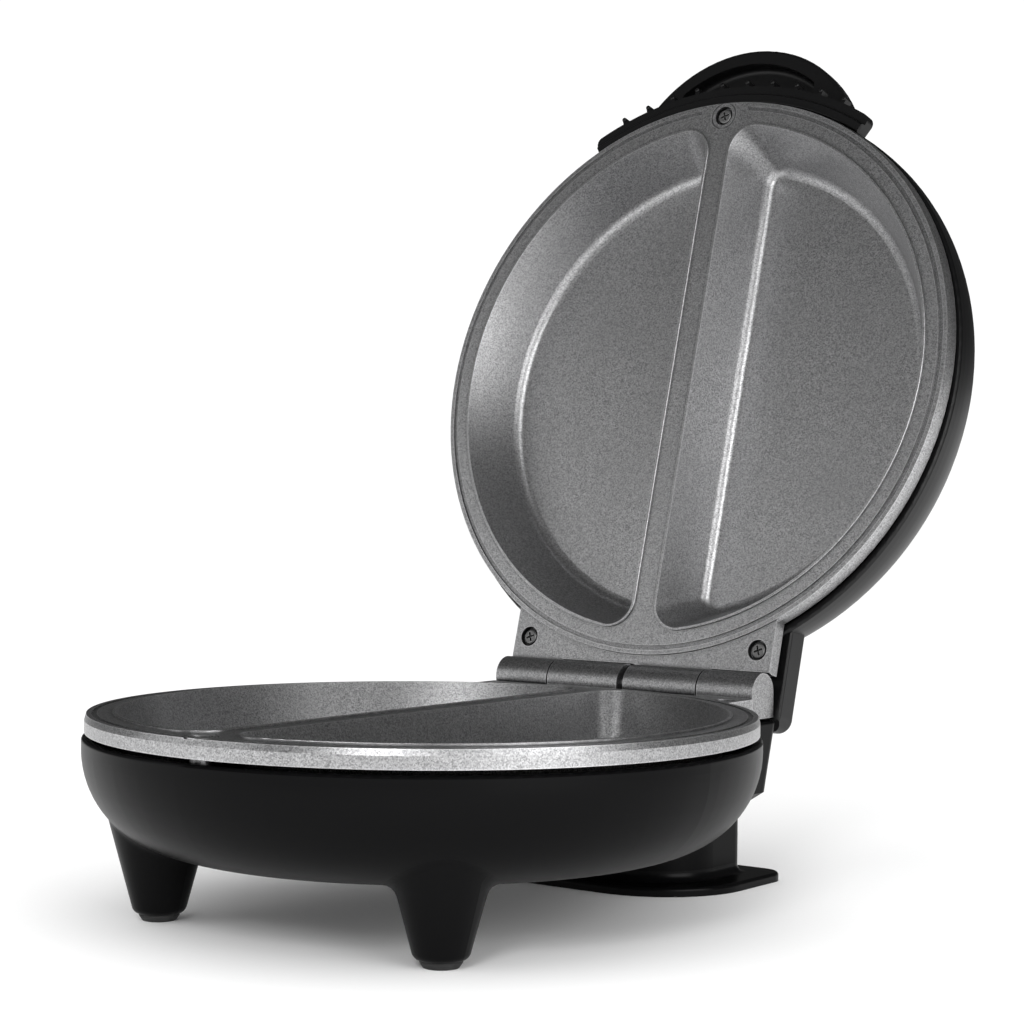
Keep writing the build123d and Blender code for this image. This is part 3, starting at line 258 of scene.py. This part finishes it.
def plain_moulding_finish(name, colour, rough, grain_scale=1400.0):
    """Pale plastic, ceramic or woven sleeve with a fine skin and grime."""
    f = Finish(name)
    skin = f.noise(grain_scale, 3.0)
    grime = f.noise(140.0, 4.0, 0.65)
    shade = f.mix(f.ramp(grime, (0.45, 0.0), (0.8, 0.6)), colour, tint(colour, 0.72))
    shade = f.mix(f.edges(0.0003) * 0.3, shade, tint(colour, 1.15))
    f.set(Base_Color=shade, Roughness=rough + 0.12 * skin)
    f.relief(skin, 0.00005, 0.45)
    return f.material


def woven_finish():
    """Glass-fibre sleeve with a plain weave."""
    f = Finish("woven_sleeve")
    wave = {"Vector": f.place, "Scale": 420.0}
    warp = f.node("ShaderNodeTexWave", {"bands_direction": "X"}, wave, "Fac")
    weft = f.node("ShaderNodeTexWave", {"bands_direction": "Y"}, wave, "Fac")
    weave = warp * 0.5 + weft * 0.5
    shade = f.mix(weave, (0.45, 0.42, 0.34, 1.0), (0.78, 0.75, 0.66, 1.0))
    f.set(Base_Color=shade, Roughness=0.8 + 0.1 * weave)
    f.relief(weave, 0.00015, 0.6)
    return f.material


def lens_finish(name, colour):
    """Coloured lamp lens with a finely ribbed inner face showing through."""
    f = Finish(name)
    ring = f.node("ShaderNodeTexWave", {}, {"Vector": f.place, "Scale": 300.0}, "Fac")
    shade = f.mix(ring * 0.45, colour, tint(colour, 0.45))
    f.set(Base_Color=shade, Roughness=0.10 + 0.08 * ring, Coat_Weight=0.6)
    f.relief(ring, 0.00006, 0.35)
    return f.material


def finish_nodes(slots_to_materials):
    """Gives every node whose slot is named its finish."""
    for name, obj in NODES.items():
        material = slots_to_materials.get(SLOT_OF[name])
        if material is None:
            continue
        for slot in obj.material_slots:
            slot.material = material


# ---------------------------------------------------------------- sizes a user would change
class GriddleSizes(PropertyGroup):
    """Colours and small sizes of the finishes."""

    coating_colour: FloatVectorProperty(
        name="Coating", description="Middle colour of the non-stick coating", subtype="COLOR",
        default=(0.42, 0.42, 0.425), min=0.0, max=1.0)
    housing_colour: FloatVectorProperty(
        name="Housing", description="Colour of the moulded housings", subtype="COLOR",
        default=(0.0024, 0.0024, 0.0026), min=0.0, max=1.0)
    fleck: FloatProperty(
        name="Fleck", description="Size of one fleck in the coating", default=0.00034, min=0.0001, max=0.005,
        subtype="DISTANCE", unit="LENGTH", precision=5)


class StudioSizes(PropertyGroup):
    """Camera and lights."""

    azimuth: FloatProperty(
        name="Azimuth", description="Camera's turn to the right round the object",
        default=radians(36.87), subtype="ANGLE")
    elevation: FloatProperty(
        name="Elevation", description="Camera's height angle", default=radians(0.95), subtype="ANGLE")
    roll: FloatProperty(name="Roll", description="Camera's tilt", default=radians(0.58), subtype="ANGLE")
    distance: FloatProperty(
        name="Distance", description="Camera to the aimed point", default=0.65117,
        subtype="DISTANCE", unit="LENGTH")
    lens: FloatProperty(name="Lens", description="Focal length in millimetres", default=83.96)
    aim: FloatVectorProperty(
        name="Aim", description="Point at the middle of the picture",
        default=(0.034958, -0.005965, 0.114706),
        subtype="TRANSLATION", unit="LENGTH")
    key_power: FloatProperty(
        name="Key light", description="Power that each light has a share of", default=7.0, unit="POWER")
    backdrop: FloatProperty(name="Backdrop", description="Brightness of the pale surroundings", default=1.06)
    room: FloatProperty(name="Room", description="Brightness of the room in reflections", default=0.06)


# ---------------------------------------------------------------- operators
class GRIDDLE_OT_cooking_plates(Operator):
    """Coat both cooking plates"""
    bl_idname = "griddle.cooking_plates"
    bl_label = "Cooking plates"

    def execute(self, context):
        finish_nodes({"nonstick_casting": nonstick_finish(context.scene.griddle)})
        return {"FINISHED"}


class GRIDDLE_OT_housings(Operator):
    """Finish the base housing, the lid housing and the rear stand"""
    bl_idname = "griddle.housings"
    bl_label = "Housings"

    def execute(self, context):
        sizes = context.scene.griddle
        finish_nodes({"black_housing": housing_finish(sizes, "black_base_moulding", 0.30, 0.07),
                      "black_foot": housing_finish(sizes, "black_stand_moulding", 0.26, 0.12)})
        lid = housing_finish(sizes, "black_lid_moulding", 0.34, 0.32)
        for slot in NODES["lid_housing"].material_slots:
            slot.material = lid
        return {"FINISHED"}


class GRIDDLE_OT_rubber(Operator):
    """Finish the foot pads and the cord inlet"""
    bl_idname = "griddle.rubber"
    bl_label = "Rubber parts"

    def execute(self, context):
        finish_nodes({"rubber": rubber_finish()})
        return {"FINISHED"}


class GRIDDLE_OT_fixings(Operator):
    """Finish the screws, clips, tabs and the hinge pin"""
    bl_idname = "griddle.fixings"
    bl_label = "Screws, clips and pin"

    def execute(self, context):
        finish_nodes({
            "zinc_steel": metal_finish("zinc_plated_steel", (0.55, 0.56, 0.57, 1.0), 0.28),
            "dark_screw": blackened_screw_finish(),
            "pin_steel": metal_finish("ground_pin", (0.46, 0.46, 0.47, 1.0), 0.22, 0.2, (0.05, 1.0, 1.0)),
            "tab_steel": metal_finish("plated_tab", (0.62, 0.62, 0.60, 1.0), 0.25),
            "clamp_steel": metal_finish("stamped_steel", (0.50, 0.50, 0.51, 1.0), 0.34, 0.4),
            "shield_sheet": metal_finish("aluminised_sheet", (0.70, 0.70, 0.71, 1.0), 0.30, 0.3,
                                         (1.0, 0.04, 1.0)),
            "thermostat_metal": metal_finish("pressed_cap", (0.66, 0.66, 0.67, 1.0), 0.26)})
        return {"FINISHED"}


class GRIDDLE_OT_heating(Operator):
    """Finish the heating elements, their bushes and the fuses"""
    bl_idname = "griddle.heating"
    bl_label = "Heating elements"

    def execute(self, context):
        finish_nodes({
            "element_sheath": element_finish(),
            "ceramic": plain_moulding_finish("white_ceramic", (0.80, 0.78, 0.72, 1.0), 0.35),
            "fuse_sleeve": woven_finish()})
        return {"FINISHED"}


class GRIDDLE_OT_wiring(Operator):
    """Finish the terminal block, lamp holder and leads"""
    bl_idname = "griddle.wiring"
    bl_label = "Wiring"

    def execute(self, context):
        finish_nodes({
            "terminal_plastic": plain_moulding_finish("terminal_nylon", (0.72, 0.71, 0.66, 1.0), 0.45),
            "lead_silicone": plain_moulding_finish("silicone_lead", (0.50, 0.13, 0.08, 1.0), 0.5, 900.0)})
        return {"FINISHED"}


class GRIDDLE_OT_lamps(Operator):
    """Finish the two lenses and the lamps behind them"""
    bl_idname = "griddle.lamps"
    bl_label = "Lamps"

    def execute(self, context):
        finish_nodes({
            "red_lens": lens_finish("red_lens", (0.42, 0.015, 0.01, 1.0)),
            "green_lens": lens_finish("green_lens", (0.02, 0.26, 0.05, 1.0)),
            "lamp_glass": lens_finish("neon_glass", (0.75, 0.62, 0.50, 1.0))})
        return {"FINISHED"}


def area_light(name, size, power, place, target):
    """A soft rectangular light aimed at a point."""
    data = bpy.data.lights.new(name, "AREA")
    data.shape = "RECTANGLE"
    data.size, data.size_y = size
    data.energy = power
    lamp = bpy.data.objects.new(name, data)
    bpy.context.scene.collection.objects.link(lamp)
    lamp.location = place
    lamp.rotation_euler = (Vector(target) - Vector(place)).to_track_quat("-Z", "Y").to_euler()
    return lamp


class GRIDDLE_OT_studio(Operator):
    """Set up the floor, the soft lights and the camera"""
    bl_idname = "griddle.studio"
    bl_label = "Studio"

    def execute(self, context):
        studio = context.scene.griddle_studio
        self.add_floor()
        self.add_surroundings(studio)
        for name, size, share, place in SOFT_LIGHTS:
            area_light(name, size, share * studio.key_power, place, LIGHT_TARGET)
        self.add_camera(studio)
        view = context.scene.view_settings
        view.view_transform = "Standard"
        view.look = "None"
        return {"FINISHED"}

    def add_floor(self):
        """A wide round pale floor."""
        mesh = bpy.data.meshes.new("floor")
        shape = bmesh.new()
        bmesh.ops.create_circle(shape, cap_ends=True, segments=96, radius=FLOOR_RADIUS)
        shape.to_mesh(mesh)
        shape.free()
        floor = bpy.data.objects.new("floor", mesh)
        bpy.context.scene.collection.objects.link(floor)
        finish = Finish("pale_floor")
        paper = finish.noise(600.0, 3.0)
        finish.set(Base_Color=finish.mix(paper, grey(0.94), grey(0.97)), Roughness=0.85 + 0.1 * paper)
        finish.set(Specular_IOR_Level=0.0)
        mesh.materials.append(finish.material)

    def add_surroundings(self, studio):
        """A white world, which reflections see as a much darker room."""
        world = bpy.data.worlds.new("soft_room")
        world.use_nodes = True
        nodes, links = world.node_tree.nodes, world.node_tree.links
        background = nodes["Background"]
        background.inputs["Color"].default_value = (1.0, 1.0, 1.0, 1.0)
        path = nodes.new("ShaderNodeLightPath")
        strength = nodes.new("ShaderNodeMix")
        strength.inputs["A"].default_value = studio.backdrop
        strength.inputs["B"].default_value = studio.room
        links.new(path.outputs["Is Glossy Ray"], strength.inputs["Factor"])
        links.new(strength.outputs["Result"], background.inputs["Strength"])
        bpy.context.scene.world = world

    def add_camera(self, studio):
        """The camera, from its turn, height, tilt and distance."""
        a, e, r = studio.azimuth, studio.elevation, studio.roll
        back = Vector((sin(a) * cos(e), -cos(a) * cos(e), sin(e)))
        right = Vector((cos(a), sin(a), 0.0))
        up = back.cross(right)
        tilted_right = cos(r) * right + sin(r) * up
        tilted_up = -sin(r) * right + cos(r) * up
        data = bpy.data.cameras.new("camera")
        data.lens = studio.lens
        data.sensor_width = 36.0
        data.clip_start = 0.01
        camera = bpy.data.objects.new("camera", data)
        place = Vector(studio.aim) + back * studio.distance
        turn = Matrix((tilted_right, tilted_up, back)).transposed().to_4x4()
        camera.matrix_world = Matrix.Translation(place) @ turn
        bpy.context.scene.collection.objects.link(camera)
        bpy.context.scene.camera = camera


class GRIDDLE_PT_panel(Panel):
    """Griddle tools in the sidebar"""
    bl_idname = "GRIDDLE_PT_panel"
    bl_label = "Griddle"
    bl_space_type = "VIEW_3D"
    bl_region_type = "UI"
    bl_category = "Griddle"

    def draw(self, context):
        layout = self.layout
        for group in (context.scene.griddle, context.scene.griddle_studio):
            for name in group.__annotations__:
                layout.prop(group, name)
        for step in STEPS:
            layout.operator(step.bl_idname)


STEPS = (GRIDDLE_OT_cooking_plates, GRIDDLE_OT_housings, GRIDDLE_OT_rubber, GRIDDLE_OT_fixings,
         GRIDDLE_OT_heating, GRIDDLE_OT_wiring, GRIDDLE_OT_lamps, GRIDDLE_OT_studio)
CLASSES = (GriddleSizes, StudioSizes) + STEPS + (GRIDDLE_PT_panel,)


def register():
    for item in CLASSES:
        bpy.utils.register_class(item)
    bpy.types.Scene.griddle = PointerProperty(type=GriddleSizes)
    bpy.types.Scene.griddle_studio = PointerProperty(type=StudioSizes)


def unregister():
    del bpy.types.Scene.griddle_studio
    del bpy.types.Scene.griddle
    for item in reversed(CLASSES):
        bpy.utils.unregister_class(item)


def main():
    """Registers the add-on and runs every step."""
    register()
    bpy.ops.griddle.cooking_plates()
    bpy.ops.griddle.housings()
    bpy.ops.griddle.rubber()
    bpy.ops.griddle.fixings()
    bpy.ops.griddle.heating()
    bpy.ops.griddle.wiring()
    bpy.ops.griddle.lamps()
    bpy.ops.griddle.studio()


if __name__ == "__main__":
    main()
